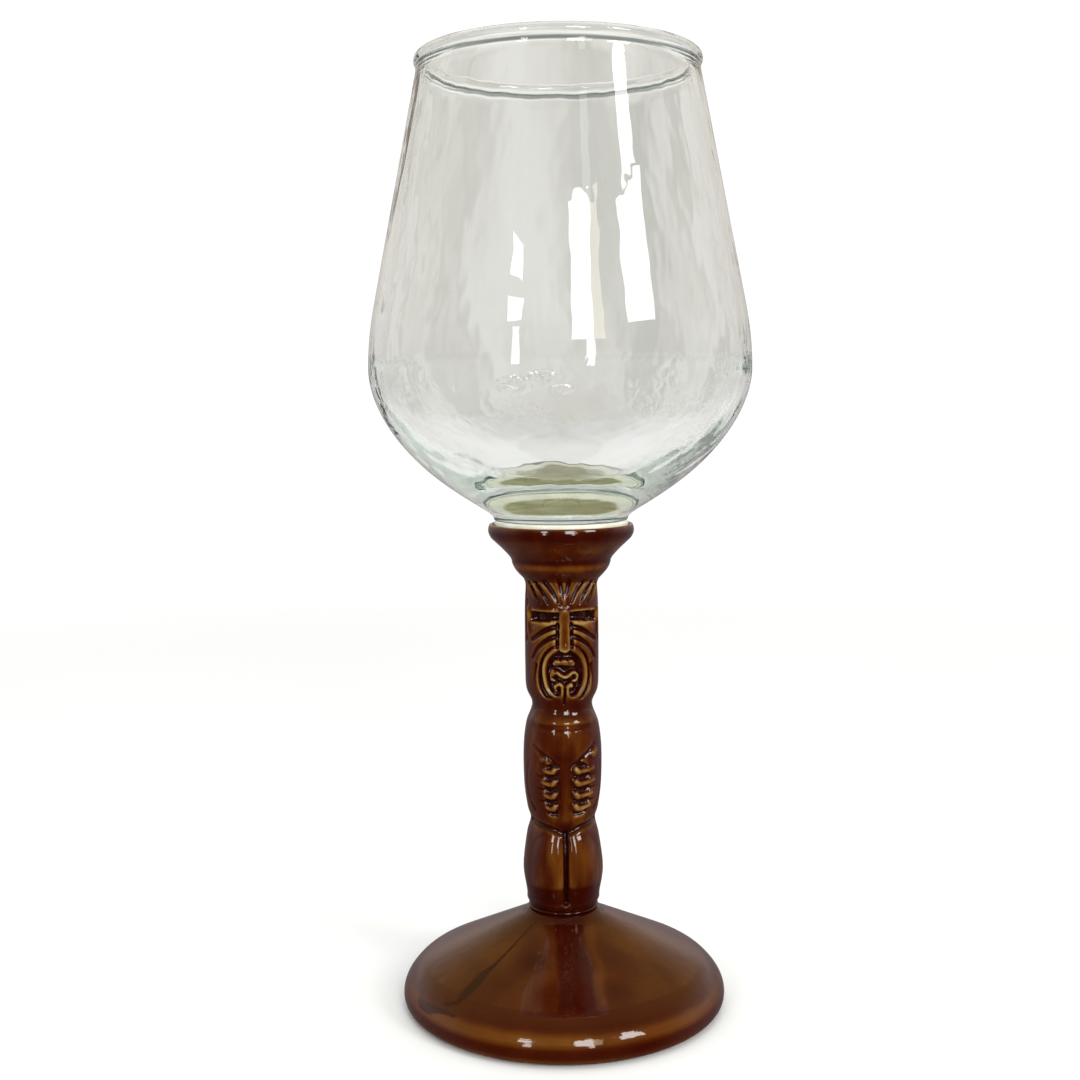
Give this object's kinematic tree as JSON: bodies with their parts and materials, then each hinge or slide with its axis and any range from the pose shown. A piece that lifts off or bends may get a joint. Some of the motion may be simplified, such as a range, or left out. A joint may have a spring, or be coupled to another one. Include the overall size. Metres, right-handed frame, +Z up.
{
  "type": "tiki stem goblet",
  "caption": "Stemmed drinking goblet: clear glass bowl cemented on a glazed brown ceramic tiki figure with a wide cone foot.",
  "frame": {"origin": "centre of the foot where it rests on the table", "axes": "+Z up the axis of turning, towards the rim; the figure's face looks along -Y"},
  "size_m": [0.0932, 0.0932, 0.234],
  "materials": {
    "clear_glass": "gloss",
    "cream_cement": "satin",
    "brown_glaze": "gloss",
    "joining_slip": "satin",
    "foot_glaze": "gloss"
  },
  "bodies": {
    "root": {"glass_bowl": "clear_glass", "bowl_adhesive": "cream_cement", "tiki_stem": "brown_glaze", "slip_joint": "joining_slip", "foot": "foot_glaze"}
  },
  "joints": []
}
